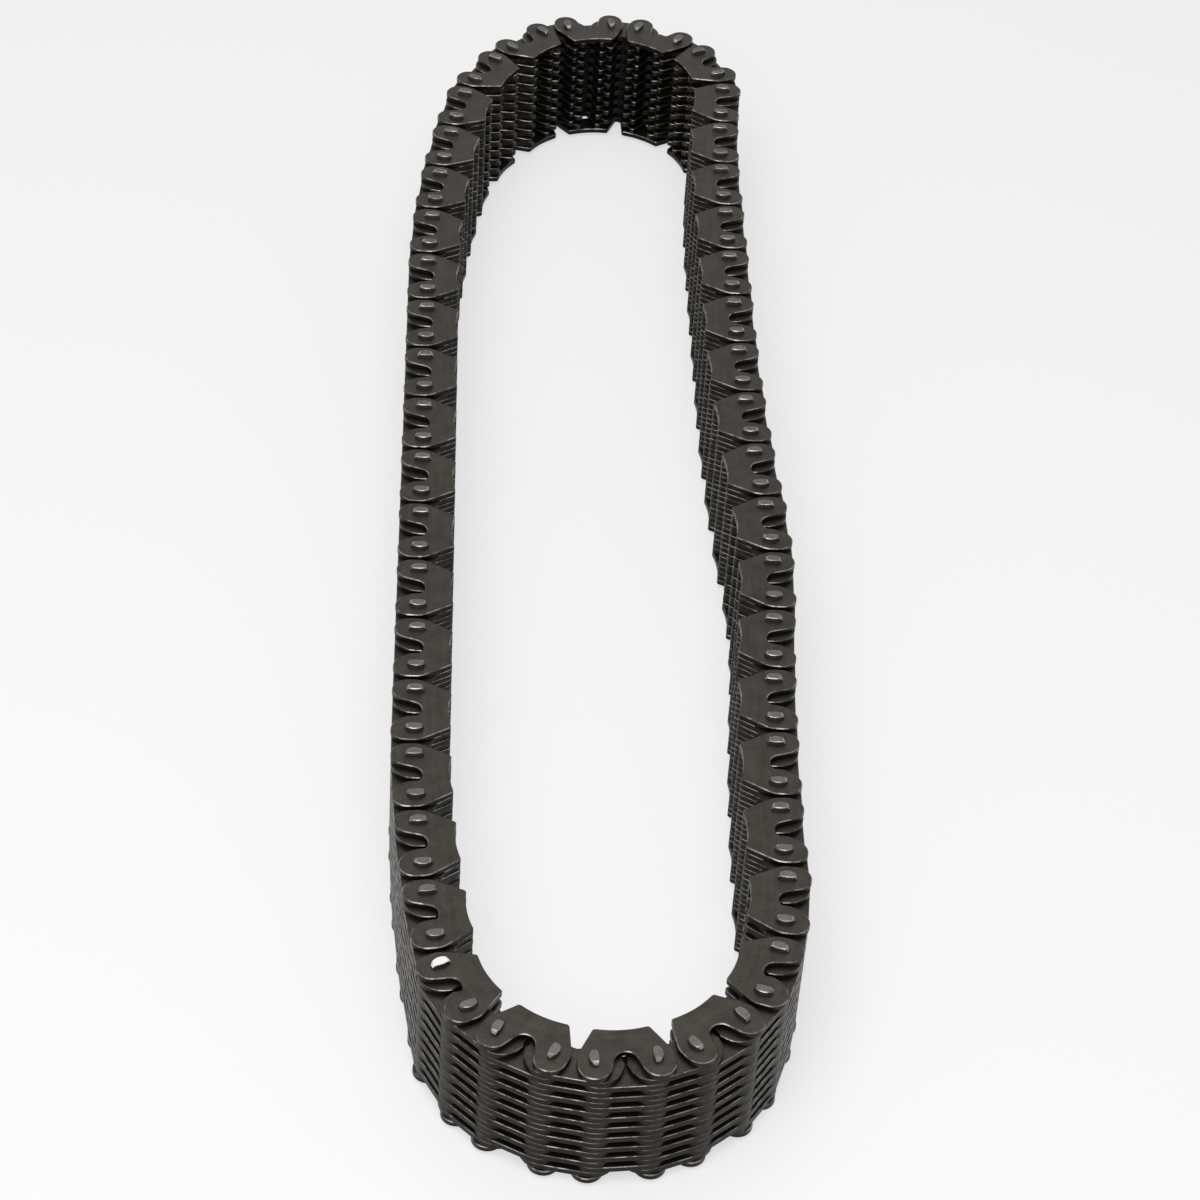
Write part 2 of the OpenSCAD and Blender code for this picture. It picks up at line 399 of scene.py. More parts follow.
def pin_outline(plates, pins, grow, steps):
    """Section of the pin at a row's end: the back first, then the rolling face."""
    joint = plates.pitch / 2
    half = pins.height / 2 + grow
    back = joint + pins.roll_gap / 2 + pins.thickness - pins.back_round
    roll = joint + pins.roll_gap / 2 + pins.roll_round
    back_reach = pins.back_round + grow
    roll_reach = pins.roll_round + grow
    levels = [half * (2 * k / steps - 1) for k in range(steps + 1)]
    back_points = [Vector((back + math.sqrt(back_reach**2 - y * y), y)) for y in levels]
    roll_points = [Vector((roll - math.sqrt(roll_reach**2 - y * y), y)) for y in reversed(levels)]
    return back_points + roll_points


def round_opening(plates, pins, sides):
    """Opening of a toothed plate; its straight sides touch the true round from outside."""
    middle = Vector((plates.pitch / 2 + pins.roll_gap / 2 + pins.thickness - pins.back_round, 0))
    reach = (pins.back_round + pins.seat_gap) / math.cos(math.pi / sides)
    spoke = Vector((reach, 0))
    turns = [-2 * math.pi * k / sides for k in range(sides)]
    return [middle + spoke @ Matrix.Rotation(turn, 2) for turn in turns]


def both_ends(outline):
    """The outline at a row's end, and turned to its start."""
    return [outline, [-point for point in outline]]


def cut_at_joint_line(outline):
    """The outline with a point wherever it crosses the joint line."""
    cut = []
    for i, here in enumerate(outline):
        after = outline[(i + 1) % len(outline)]
        if abs(here.y) < TINY:
            here = Vector((here.x, 0.0))
        cut.append(here)
        if here.y * after.y < 0 and abs(after.y) > TINY:
            cut.append(Vector((here.x - here.y * (after.x - here.x) / (after.y - here.y), 0.0)))
    return cut


def inset(outline, depth):
    """The outline moved inwards, mitred at its corners."""
    moved = []
    for i, here in enumerate(outline):
        way_in = (here - outline[i - 1]).normalized()
        way_out = (outline[(i + 1) % len(outline)] - here).normalized()
        inwards = Vector((-way_in.y - way_out.y, way_in.x + way_out.x)).normalized()
        mitre = max(MITRE_LIMIT, inwards.dot(Vector((-way_in.y, way_in.x))))
        moved.append(here + inwards * depth / mitre)
    return moved


def halves_of_face(loops):
    """Cuts a flat face with openings along the joint line, into plain loops of (loop, point) keys."""
    crossings = []
    arcs = {}
    for n, loop in enumerate(loops):
        on_line = [i for i, point in enumerate(loop) if point.y == 0.0]
        crossings += [(loop[i].x, n, i) for i in on_line]
        for here, after in zip(on_line, on_line[1:] + on_line[:1]):
            steps = (after - here) % len(loop) or len(loop)
            keys = [(n, (here + k) % len(loop)) for k in range(steps + 1)]
            upper = loop[keys[1][1]].y > 0
            arcs[keys[0], upper] = keys
            arcs[keys[-1], upper] = keys[::-1]
    crossings = [(n, i) for _, n, i in sorted(crossings)]
    straights = list(zip(crossings[::2], crossings[1::2]))
    faces = []
    for upper in (True, False):
        onward = dict(straights) if upper else {b: a for a, b in straights}
        while onward:
            start, here = onward.popitem()
            face = [start]
            while True:
                arc = arcs[here, upper]
                face += arc[:-1]
                if arc[-1] == start:
                    break
                face.append(arc[-1])
                here = onward.pop(arc[-1])
            faces.append(face)
    return faces


# Meshes of one plate, one pin and one rocker, in a row's own frame


def new_shape():
    """An empty shape that can hold which faces are worn or carry painted shade and where a point lies on
    its piece.
    """
    bm = bmesh.new()
    bm.faces.layers.float.new("worn_edge")
    bm.faces.layers.float.new("oiled")
    bm.verts.layers.float_vector.new("own_place")
    return bm


def finish_mesh(name, bm, wear, sharp_edges):
    """Turns the faces outwards and fills in what the finish reads."""
    bmesh.ops.recalc_face_normals(bm, faces=bm.faces)
    worn = bm.faces.layers.float["worn_edge"]
    place = bm.verts.layers.float_vector["own_place"]
    for face in bm.faces:
        face.smooth = True
        face[worn] = wear.get(face, 0.0)
    for vert in bm.verts:
        vert[place] = vert.co
    for edge in bm.edges:
        edge.smooth = edge not in sharp_edges
    mesh = bpy.data.meshes.new(name)
    bm.to_mesh(mesh)
    bm.free()
    return mesh


def wear_of(middle, shoulder, free):
    """Wear of a plate's edge: less where its back lies tight against its neighbours."""
    return 1.0 if middle.y > -shoulder or abs(middle.x) < free else TIGHT_BACK_WEAR


def in_crotch(middle, shoulder, tips, bottom):
    """Whether a spot on a plate's edge lies in the round bottom between its two teeth."""
    return shoulder < middle.y < tips and abs(middle.x) < bottom


def painted_shade_share(y, shoulder, tips):
    """Share of painted shade on a plate's wall: all of it between the teeth, less on the back and the tips.
    """
    if y < shoulder / 2:
        return BACK_SHADE
    return TIP_SHADE if y > tips else 1.0


def plate_mesh(name, outline, openings, thickness, edge, shoulder, tips, free, bottom=0.0):
    """A plate with its openings; its outer edges are worn off at a slant, and its walls and the slanted
    edges between its teeth get painted shade.
    """
    bm = new_shape()
    oiled = bm.faces.layers.float["oiled"]
    outline = cut_at_joint_line(outline)
    openings = [cut_at_joint_line(opening) for opening in openings]
    levels = [(edge, 0.0), (0.0, edge), (0.0, thickness - edge), (edge, thickness)]
    rings = [[bm.verts.new((*point, z)) for point in inset(outline, depth)] for depth, z in levels]
    wear, sharp = {}, set()
    count = len(outline)
    for k, (low, high) in enumerate(zip(rings, rings[1:])):
        for i in range(count):
            j = (i + 1) % count
            face = bm.faces.new((low[i], low[j], high[j], high[i]))
            middle = face.calc_center_median()
            # Walls get painted shade; the slanted edges between the teeth are fully painted shade, the
            # other slanted edges are worn
            if k == 1:
                face[oiled] = painted_shade_share(middle.y, shoulder, tips)
            elif in_crotch(middle, shoulder, tips, bottom):
                face[oiled] = 1.0
            else:
                wear[face] = wear_of(middle, shoulder, free)
    for i, here in enumerate(outline):
        turn = (here - outline[i - 1]).angle(outline[(i + 1) % count] - here)
        if turn > PLATE_SHARP:
            sharp |= {bm.edges.get((low[i], high[i])) for low, high in zip(rings, rings[1:])}
        sharp |= {bm.edges.get((ring[i - 1], ring[i])) for ring in rings}
    ends = []
    for z in (0.0, thickness):
        ends.append([[bm.verts.new((*point, z)) for point in opening] for opening in openings])
    for low, high in zip(*ends):
        for i in range(len(low)):
            j = (i + 1) % len(low)
            bm.faces.new((low[i], high[i], high[j], low[j]))
            sharp |= {bm.edges.get((low[i], low[j])), bm.edges.get((high[i], high[j]))}
    for ring, holes in zip((rings[0], rings[-1]), ends):
        loops = [ring] + holes
        for face in halves_of_face([outline] + openings):
            bm.faces.new([loops[n][i] for n, i in face])
    return finish_mesh(name, bm, wear, sharp)


def bevel_ends(bm, low, high, bevel, half):
    """Cuts both ends of a pin off at a slant, on either side across the chain."""
    for side in (-1, 1):
        for z, way in ((low, -1), (high, 1)):
            bmesh.ops.bisect_plane(
                bm,
                geom=bm.verts[:] + bm.edges[:] + bm.faces[:],
                plane_co=(0, side * (half - bevel), z),
                plane_no=(0, side, way),
                clear_outer=True,
            )
            bmesh.ops.holes_fill(bm, edges=[e for e in bm.edges if e.is_boundary])


def pin_mesh(name, outline, low, high, bevel=0.0, half=0.0, edge=0.0):
    """A pin from low to high; a long pin's ends are bevelled across the chain and worn round."""
    bm = new_shape()
    ends = [[bm.verts.new((*point, z)) for point in outline] for z in (low, high)]
    for i in range(len(outline)):
        j = (i + 1) % len(outline)
        bm.faces.new((ends[0][i], ends[0][j], ends[1][j], ends[1][i]))
    for end in ends:
        bm.faces.new(end)
    bmesh.ops.recalc_face_normals(bm, faces=bm.faces)
    if bevel > 0:
        bevel_ends(bm, low, high, bevel, half)
    if edge > 0:
        rims = [e for e in bm.edges if any(abs(f.normal.z) > PIN_END for f in e.link_faces)]
        bmesh.ops.bevel(bm, geom=rims, offset=edge, segments=1, affect="EDGES")
    bm.normal_update()
    wear = {face: 1.0 for face in bm.faces if PIN_SLANT_LOW < abs(face.normal.z) < PIN_SLANT_HIGH}
    sharp = {e for e in bm.edges if e.calc_face_angle(0.0) > PIN_SHARP}
    return finish_mesh(name, bm, wear, sharp)


def layer_step(plates):
    """From one layer of plates to the next."""
    return plates.thickness + plates.layer_gap


def pin_top(plates, pins):
    """Height of the long pins' upper ends."""
    stack_top = pins.proud + 2 * plates.inner_plates * layer_step(plates) + plates.thickness
    return stack_top + pins.proud


def toothed_plate_mesh(plates, pins):
    """A toothed plate with its two round openings."""
    return plate_mesh(
        "toothed plate",
        toothed_outline(plates),
        both_ends(round_opening(plates, pins, sides=10)),
        plates.thickness,
        plates.tooth_edge,
        plates.shoulder,
        tips=plates.tip_height - plates.tip_round,
        free=plates.back_free,
        bottom=plates.crotch_round * math.cos(plates.crotch_slope),
    )


def guide_plate_mesh(plates, pins):
    """A guide plate with its two pin seats."""
    return plate_mesh(
        "guide plate",
        guide_outline(plates),
        both_ends(pin_outline(plates, pins, pins.seat_gap, steps=8)),
        plates.thickness,
        plates.guide_edge,
        plates.shoulder,
        tips=plates.guide_height,
        free=plates.pitch,
    )


def long_pin_mesh(plates, pins):
    """The long pin at a row's end."""
    return pin_mesh(
        "long pin",
        pin_outline(plates, pins, grow=0.0, steps=10),
        low=0.0,
        high=pin_top(plates, pins),
        bevel=pins.bevel,
        half=pins.height / 2,
        edge=pins.edge,
    )


def rocker_mesh(plates, pins):
    """The rocker at a row's end, which ends inside the guide plates."""
    low = pins.proud + plates.thickness + pins.rocker_gap
    high = pin_top(plates, pins) - low
    return pin_mesh("rocker", pin_outline(plates, pins, grow=0.0, steps=6), low, high)


# Helpers for node trees


def put(tree, kind, sockets=None, **settings):
    """Adds a node to a tree; a socket gets a value or the output that feeds it."""
    node = tree.nodes.new(kind)
    for key, value in settings.items():
        setattr(node, key, value)
    for key, value in (sockets or {}).items():
        if isinstance(value, bpy.types.NodeSocket):
            tree.links.new(value, node.inputs[key])
        else:
            node.inputs[key].default_value = value
    return node


def maths(tree, operation, *values, clamp=False):
    """Output of a math node."""
    sockets = dict(enumerate(values))
    return put(tree, "ShaderNodeMath", sockets, operation=operation, use_clamp=clamp).outputs[0]


def mixed(tree, factor, first, second, kind="RGBA"):
    """Output that goes from the first value to the second as the factor rises."""
    a, b, result = MIX_SOCKETS[kind]
    sockets = {"Factor": factor, a: first, b: second}
    return put(tree, "ShaderNodeMix", sockets, data_type=kind).outputs[result]


def remapped(tree, value, span, new_span=(0.0, 1.0), **settings):
    """Output that carries one span of values over to another."""
    sockets = {"Value": value, "From Min": span[0], "From Max": span[1]}
    sockets.update({"To Min": new_span[0], "To Max": new_span[1]})
    return put(tree, "ShaderNodeMapRange", sockets, **settings).outputs[0]


def noise(tree, place, scale, sockets=None, **settings):
    """Output of a noise at a scale in waves for each metre."""
    sockets = {"Vector": place, "Scale": scale, **(sockets or {})}
    return put(tree, "ShaderNodeTexNoise", sockets, **settings).outputs[0]


def object_place(tree):
    """Output with a point's place in the shared frame."""
    return put(tree, "ShaderNodeTexCoord").outputs["Object"]


def own_value(tree, name, output="Fac"):
    """Output with one of the piece's own attributes."""
    return put(tree, "ShaderNodeAttribute", attribute_name=name).outputs[output]


def rgba(colour_value, part=1.0):
    """A colour, or a part of its brightness, with full cover."""
    return (*(part * c for c in colour_value), 1.0)


def new_group(name, kind, inputs, outputs):
    """A node group with named sockets: (name, type) or (name, type, default)."""
    tree = bpy.data.node_groups.new(name, kind)
    for way, sockets in (("INPUT", inputs), ("OUTPUT", outputs)):
        for socket_name, socket_type, *default in sockets:
            socket = tree.interface.new_socket(socket_name, in_out=way, socket_type=socket_type)
            if default:
                socket.default_value = default[0]
    return tree, put(tree, "NodeGroupInput"), put(tree, "NodeGroupOutput")


def new_material(name):
    """A material with its node tree and its shader."""
    material = bpy.data.materials.new(name)
    material.use_nodes = True
    return material, material.node_tree, material.node_tree.nodes["Principled BSDF"]


# Finishes


def steel_grain_group():
    """Rolled steel: soft patches, fine rolling lines along the piece and small pits."""
    tree, given, result = new_group(
        "Steel grain",
        "ShaderNodeTree",
        [
            ("Row shade", "NodeSocketFloat", 0.0),
            ("Own place", "NodeSocketVector"),
            ("Patch scale", "NodeSocketFloat", 260.0),
            ("Line scale", "NodeSocketFloat", 900.0),
            ("Pit scale", "NodeSocketFloat", 2600.0),
        ],
        [("Tone", "NodeSocketFloat"), ("Height", "NodeSocketFloat")],
    )
    place = object_place(tree)
    patches = noise(tree, place, given.outputs["Patch scale"], {"Detail": 5.0, "Roughness": 0.62})
    along_piece = {0: given.outputs["Own place"], 1: LINE_STRETCH}
    stretched = put(tree, "ShaderNodeVectorMath", along_piece, operation="MULTIPLY").outputs[0]
    lines = noise(
        tree,
        stretched,
        given.outputs["Line scale"],
        {"W": given.outputs["Row shade"], "Detail": 3.0, "Roughness": 0.6},
        noise_dimensions="4D",
    )
    pits = noise(tree, place, given.outputs["Pit scale"], {"Detail": 2.0})
    tone = 0.0
    for pattern, part in ((patches, 0.45), (lines, 0.25), (pits, 0.3)):
        tone = maths(tree, "MULTIPLY_ADD", pattern, part, tone)
    tree.links.new(tone, result.inputs["Tone"])
    tree.links.new(maths(tree, "ADD", lines, pits), result.inputs["Height"])
    return tree


def worn_edge_group():
    """Edges rubbed bright, in broken stretches."""
    tree, given, result = new_group(
        "Worn edges",
        "ShaderNodeTree",
        [
            ("Edge", "NodeSocketFloat", 0.0),
            ("Amount", "NodeSocketFloat", 0.5),
            ("Scale", "NodeSocketFloat", 420.0),
        ],
        [("Mask", "NodeSocketFloat")],
    )
    breaks = noise(tree, object_place(tree), given.outputs["Scale"], {"Detail": 4.0, "Roughness": 0.6})
    spread = remapped(tree, breaks, (0.43, 0.59), (0.1, 1.0))
    amount = maths(tree, "MULTIPLY", spread, given.outputs["Amount"])
    mask = maths(tree, "MULTIPLY", amount, given.outputs["Edge"], clamp=True)
    tree.links.new(mask, result.inputs["Mask"])
    return tree


def painted_shade_group():
    """Painted shade in the corners and on the walls, lighter in places."""
    tree, given, result = new_group(
        "Oil film",
        "ShaderNodeTree",
        [
            ("Oiled", "NodeSocketFloat", 0.0),
            ("Cover", "NodeSocketFloat", 0.9),
            ("Scale", "NodeSocketFloat", 700.0),
        ],
        [("Mask", "NodeSocketFloat")],
    )
    shade_noise = noise(tree, object_place(tree), given.outputs["Scale"], {"Detail": 3.0})
    thin = remapped(tree, shade_noise, (0.35, 0.65), (0.7, 1.0))
    cover = maths(tree, "MULTIPLY", thin, given.outputs["Cover"])
    mask = maths(tree, "MULTIPLY", cover, given.outputs["Oiled"])
    tree.links.new(mask, result.inputs["Mask"])
    return tree


def grain_relief(tree, grain, strength):
    """Output with the surface's direction, bent by its grain."""
    sockets = {"Height": grain.outputs["Height"], "Strength": strength, "Distance": GRAIN_DEPTH}
    return put(tree, "ShaderNodeBump", sockets).outputs["Normal"]


def steel_material(name, groups, light, dark, painted_shade, bare, wear, metallic, roughness, edge_roughness, bump):
    """Steel whose tone follows its grain, darkened by painted shade on its shaded walls, with bare steel
    where its edges are worn.
    """
    _, tree, shader = new_material(name)
    grain = put(tree, "ShaderNodeGroup", node_tree=groups["grain"])
    tree.links.new(own_value(tree, "own_place", "Vector"), grain.inputs["Own place"])
    tree.links.new(own_value(tree, "row_shade"), grain.inputs["Row shade"])
    shade_node = put(tree, "ShaderNodeGroup", node_tree=groups["painted_shade"])
    tree.links.new(own_value(tree, "oiled"), shade_node.inputs["Oiled"])
    wearing = put(tree, "ShaderNodeGroup", node_tree=groups["wear"])
    tree.links.new(own_value(tree, "worn_edge"), wearing.inputs["Edge"])
    wearing.inputs["Amount"].default_value = wear
    worn = wearing.outputs["Mask"]
    tone = grain.outputs["Tone"]
    oxide = mixed(tree, remapped(tree, tone, (0.4, 0.6)), rgba(dark), rgba(light))
    # Painted shade: the oxide turns near black where walls and crotches lie in shade
    shaded_surface = mixed(tree, shade_node.outputs["Mask"], oxide, rgba(painted_shade))
    surface = mixed(tree, worn, shaded_surface, rgba(bare))
    sheen = remapped(tree, tone, (0.0, 1.0), (roughness + GRAIN_SHEEN, roughness - GRAIN_SHEEN))
    gloss = mixed(tree, worn, sheen, edge_roughness, "FLOAT")
    tree.links.new(surface, shader.inputs["Base Color"])
    tree.links.new(gloss, shader.inputs["Roughness"])
    tree.links.new(grain_relief(tree, grain, bump), shader.inputs["Normal"])
    shader.inputs["Metallic"].default_value = metallic


def mark_material(name, groups, paint):
    """White marking paint, laid on thin and a little uneven."""
    _, tree, shader = new_material(name)
    grain = put(tree, "ShaderNodeGroup", node_tree=groups["grain"])
    tree.links.new(own_value(tree, "own_place", "Vector"), grain.inputs["Own place"])
    shade = mixed(tree, grain.outputs["Tone"], rgba(paint, part=0.88), rgba(paint))
    tree.links.new(shade, shader.inputs["Base Color"])
    tree.links.new(grain_relief(tree, grain, strength=0.3), shader.inputs["Normal"])
    shader.inputs["Roughness"].default_value = 0.5


def finishes(finish):
    """The chain's materials, made once: plates, pins and mark."""
    names = ("black steel plates", "pin steel", "white mark")
    plates, pins, mark = names
    if plates not in bpy.data.materials:
        groups = {"grain": steel_grain_group(), "painted_shade": painted_shade_group(), "wear": worn_edge_group()}
        steel_material(
            plates,
            groups,
            light=finish.oxide,
            dark=finish.oxide_dark,
            painted_shade=finish.painted_shade,
            bare=finish.bare_steel,
            wear=finish.edge_wear,
            metallic=0.92,
            roughness=0.42,
            edge_roughness=0.28,
            bump=0.35,
        )
        steel_material(
            pins,
            groups,
            light=finish.pin_steel,
            dark=finish.pin_dark,
            painted_shade=finish.painted_shade,
            bare=finish.pin_rim,
            wear=finish.rim_wear,
            metallic=0.9,
            roughness=0.42,
            edge_roughness=0.3,
            bump=0.5,
        )
        mark_material(mark, groups, finish.mark)
    return [bpy.data.materials[name] for name in names]


# Geometry nodes that stack the plates of each row


def rows_tree():
    """On each row's point: its plates layer by layer, and its pins or rockers."""
    tree, given, result = new_group(
        "Chain rows",
        "GeometryNodeTree",
        [
            ("Rows", "NodeSocketGeometry"),
            ("Toothed plate", "NodeSocketObject"),
            ("Guide plate", "NodeSocketObject"),
            ("Long pin", "NodeSocketObject"),
            ("Rocker", "NodeSocketObject"),
            ("First layer", "NodeSocketFloat"),
            ("Layer step", "NodeSocketFloat"),
            ("Inner plates", "NodeSocketInt"),
            ("Plate finish", "NodeSocketMaterial"),
            ("Pin finish", "NodeSocketMaterial"),
        ],
        [("Links", "NodeSocketGeometry")],
    )
    step, first = given.outputs["Layer step"], given.outputs["First layer"]
    inner = given.outputs["Inner plates"]

    def shape(name):
        return put(tree, "GeometryNodeObjectInfo", {"Object": given.outputs[name]}).outputs["Geometry"]

    def row_fact(name, kind="BOOLEAN"):
        fact = put(tree, "GeometryNodeInputNamedAttribute", {"Name": name}, data_type=kind)
        return fact.outputs["Attribute"]

    def on_z(value):
        return put(tree, "ShaderNodeCombineXYZ", {"Z": value}).outputs[0]

    def stack(piece, count, start, offset):
        sockets = {"Count": count, "Start Location": on_z(start), "Offset": on_z(offset)}
        line = put(tree, "GeometryNodeMeshLine", sockets).outputs[0]
        on_line = put(tree, "GeometryNodeInstanceOnPoints", {"Points": line, "Instance": piece})
        return on_line.outputs[0]

    heading = row_fact("heading", "FLOAT")

    def on_rows(piece, fact, half_turn=False):
        turn = maths(tree, "ADD", heading, math.pi) if half_turn else heading
        rotation = put(tree, "FunctionNodeEulerToRotation", {"Euler": on_z(turn)}).outputs[0]
        sockets = {"Points": given.outputs["Rows"], "Selection": row_fact(fact)}
        sockets.update({"Instance": piece, "Rotation": rotation})
        return put(tree, "GeometryNodeInstanceOnPoints", sockets).outputs[0]

    two_steps = maths(tree, "MULTIPLY", step, 2.0)
    toothed, guide = shape("Toothed plate"), shape("Guide plate")
    guides = stack(guide, 2, first, maths(tree, "MULTIPLY", two_steps, inner))
    between = stack(
        toothed, maths(tree, "SUBTRACT", inner, 1.0), maths(tree, "ADD", first, two_steps), two_steps
    )
    inners = stack(toothed, inner, maths(tree, "ADD", first, step), two_steps)
    stacks = [on_rows(guides, "guide_row"), on_rows(between, "guide_row"), on_rows(inners, "inner_row")]
    pin, rocker = shape("Long pin"), shape("Rocker")
    pins = [
        on_rows(pin, "end_pin"),
        on_rows(pin, "start_pin", half_turn=True),
        on_rows(rocker, "end_rocker"),
        on_rows(rocker, "start_rocker", half_turn=True),
    ]
    made = put(tree, "GeometryNodeJoinGeometry")
    for group, finish in ((stacks, "Plate finish"), (pins, "Pin finish")):
        together = put(tree, "GeometryNodeJoinGeometry")
        for geometry in group:
            tree.links.new(geometry, together.inputs[0])
        real = put(tree, "GeometryNodeRealizeInstances", {"Geometry": together.outputs[0]})
        coating = {"Geometry": real.outputs[0], "Material": given.outputs[finish]}
        coated = put(tree, "GeometryNodeSetMaterial", coating)
        tree.links.new(coated.outputs[0], made.inputs[0])
    tree.links.new(made.outputs[0], result.inputs["Links"])
    return tree


def set_inputs(modifier, tree, values):
    """Sets a modifier's inputs by the identifiers of their sockets."""
    for item in tree.interface.items_tree:
        if item.in_out == "INPUT" and item.name in values:
            modifier[item.identifier] = values[item.name]


def row_points(name, rows, numbers):
    """A point on each of these rows, with its heading and what belongs to it."""
    mesh = bpy.data.meshes.new(name)
    mesh.from_pydata([(*rows[n][0], 0.0) for n in numbers], [], [])
    last = len(rows) - 1
    facts = {
        "guide_row": [n % 2 == 0 for n in numbers],
        "inner_row": [n % 2 == 1 for n in numbers],
        "end_pin": [n % 2 == 0 for n in numbers],
        "start_pin": [n % 2 == 0 and n > 0 for n in numbers],
        "end_rocker": [n % 2 == 1 and n < last for n in numbers],
        "start_rocker": [n % 2 == 1 for n in numbers],
    }
    for fact, values in facts.items():
        mesh.attributes.new(fact, "BOOLEAN", "POINT").data.foreach_set("value", values)
    measures = {
        "heading": [rows[n][1] for n in numbers],
        "row_shade": [(n * SHADE_STEP) % 1.0 * SHADE_SPAN for n in numbers],
    }
    for measure, values in measures.items():
        mesh.attributes.new(measure, "FLOAT", "POINT").data.foreach_set("value", values)
    return mesh


def new_object(name, data):
    """An object at the origin, in the scene."""
    found = bpy.data.objects.new(name, data)
    bpy.context.scene.collection.objects.link(found)
    return found


def plain_mesh(piece, depsgraph):
    """The mesh that a piece's modifiers make."""
    made = piece.evaluated_get(depsgraph)
    mesh = bpy.data.meshes.new_from_object(made, preserve_all_data_layers=True, depsgraph=depsgraph)
    mesh.name = piece.name
    return mesh


class CHAIN_OT_rows(bpy.types.Operator):
    """Stack the plates, pins and rockers of every row, one piece for each body"""

    bl_idname = "chain.rows"
    bl_label = "Chain rows"

    def execute(self, context):
        scene = context.scene
        plates, pins = scene.chain_plates, scene.chain_pins
        plate_steel, pin_steel, _ = finishes(scene.chain_finish)
        rows = chain_rows(plates.pitch)
        models = {
            "Toothed plate": new_object("Toothed plate", toothed_plate_mesh(plates, pins)),
            "Guide plate": new_object("Guide plate", guide_plate_mesh(plates, pins)),
            "Long pin": new_object("Long pin", long_pin_mesh(plates, pins)),
            "Rocker": new_object("Rocker", rocker_mesh(plates, pins)),
        }
        for name, model in models.items():
            model.data.materials.append(plate_steel if "plate" in name else pin_steel)
        values = {
            **models,
            "First layer": pins.proud,
            "Layer step": layer_step(plates),
            "Inner plates": plates.inner_plates,
            "Plate finish": plate_steel,
            "Pin finish": pin_steel,
        }
        tree = rows_tree()
        pieces = {}
        for body, numbers in rows_of_bodies(len(rows)).items():
            points = row_points(f"{body}_points", rows, numbers)
            pieces[body] = new_object(f"{body}_plates_and_pins", points)
            stacking = pieces[body].modifiers.new("Chain rows", "NODES")
            stacking.node_group = tree
            set_inputs(stacking, tree, values)
        depsgraph = context.evaluated_depsgraph_get()
        meshes = {body: plain_mesh(piece, depsgraph) for body, piece in pieces.items()}
        for body, piece in pieces.items():
            piece.modifiers.clear()
            piece.data = meshes[body]
            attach(piece, body)
            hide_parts(body)
        for model in models.values():
            bpy.data.objects.remove(model)
        return {"FINISHED"}


def put_in_row(mesh, row, turn):
    """Moves a pin's mesh to its place in a row, turned about the row's middle."""
    middle, heading = row
    mesh.transform(Matrix.Translation((*middle, 0.0)) @ Matrix.Rotation(heading + turn, 4, "Z"))
    return mesh


class CHAIN_OT_closing_pin(bpy.types.Operator):
    """Make the pin that closes the loop, with its upper end painted white"""

    bl_idname = "chain.closing_pin"
    bl_label = "Closing pin"

    def execute(self, context):
        scene = context.scene
        plates, pins = scene.chain_plates, scene.chain_pins
        _, pin_steel, mark = finishes(scene.chain_finish)
        first_row = chain_rows(plates.pitch)[0]
        mesh = put_in_row(long_pin_mesh(plates, pins), first_row, math.pi)
        mesh.materials.append(pin_steel)
        mesh.materials.append(mark)
        painted = max(vert.co.z for vert in mesh.vertices) - pins.proud
        for face in mesh.polygons:
            face.material_index = int(face.center.z > painted)
        piece = new_object("closing_pin_marked", mesh)
        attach(piece, "row_pair_01")
        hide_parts("closing_pin")
        return {"FINISHED"}


class CHAIN_OT_closing_rocker(bpy.types.Operator):
    """Make the rocker that the closing pin rolls on"""

    bl_idname = "chain.closing_rocker"
    bl_label = "Closing rocker"

    def execute(self, context):
        scene = context.scene
        plates, pins = scene.chain_plates, scene.chain_pins
        _, pin_steel, _ = finishes(scene.chain_finish)
        rows = chain_rows(plates.pitch)
        mesh = put_in_row(rocker_mesh(plates, pins), rows[-1], 0.0)
        mesh.materials.append(pin_steel)
        piece = new_object("closing_rocker_steel", mesh)
        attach(piece, body_of_row(len(rows) - 1))
        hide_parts("closing_rocker")
        return {"FINISHED"}


# Studio


def seen_directly(tree):
    """1 for what the camera sees, also in metal or through glass, and 0 for light."""
    path = put(tree, "ShaderNodeLightPath")
    seen = path.outputs["Is Camera Ray"]
    for ray in ("Is Glossy Ray", "Is Transmission Ray"):
        seen = maths(tree, "ADD", seen, path.outputs[ray], clamp=True)
    return seen


def floor_material(studio, middle):
    """Matt pale floor with a trace of unevenness, whiter to the eye than it is lit and white far out."""
    material, tree, shader = new_material("studio floor")
    place = object_place(tree)
    pale = mixed(tree, noise(tree, place, scale=3.0), rgba(studio.floor), rgba(studio.floor, part=0.99))
    tree.links.new(pale, shader.inputs["Base Color"])
    shader.inputs["Roughness"].default_value = 0.9
    shader.inputs["Specular IOR Level"].default_value = 0.1
    white = put(tree, "ShaderNodeEmission", {"Color": (1.0, 1.0, 1.0, 1.0), "Strength": 1.0})
    away = put(tree, "ShaderNodeVectorMath", {0: place, 1: middle}, operation="DISTANCE").outputs["Value"]
    whiter = remapped(
        tree,
        away,
        (studio.floor_near, studio.floor_far),
        (studio.floor_whitening, 1.0),
        interpolation_type="SMOOTHSTEP",
    )
    lift = maths(tree, "MULTIPLY", seen_directly(tree), whiter)
    shaders = {0: lift, 1: shader.outputs["BSDF"], 2: white.outputs["Emission"]}
    surface = put(tree, "ShaderNodeMixShader", shaders).outputs[0]
    tree.links.new(surface, tree.nodes["Material Output"].inputs["Surface"])
    return material


def studio_floor(studio, middle):
    """Square floor under the chain."""
    half = studio.floor_span / 2
    corners = [(-half, -half, 0), (half, -half, 0), (half, half, 0), (-half, half, 0)]
    mesh = bpy.data.meshes.new("studio_floor")
    mesh.from_pydata(corners, [], [(0, 1, 2, 3)])
    mesh.materials.append(floor_material(studio, middle))
    new_object("studio_floor", mesh)


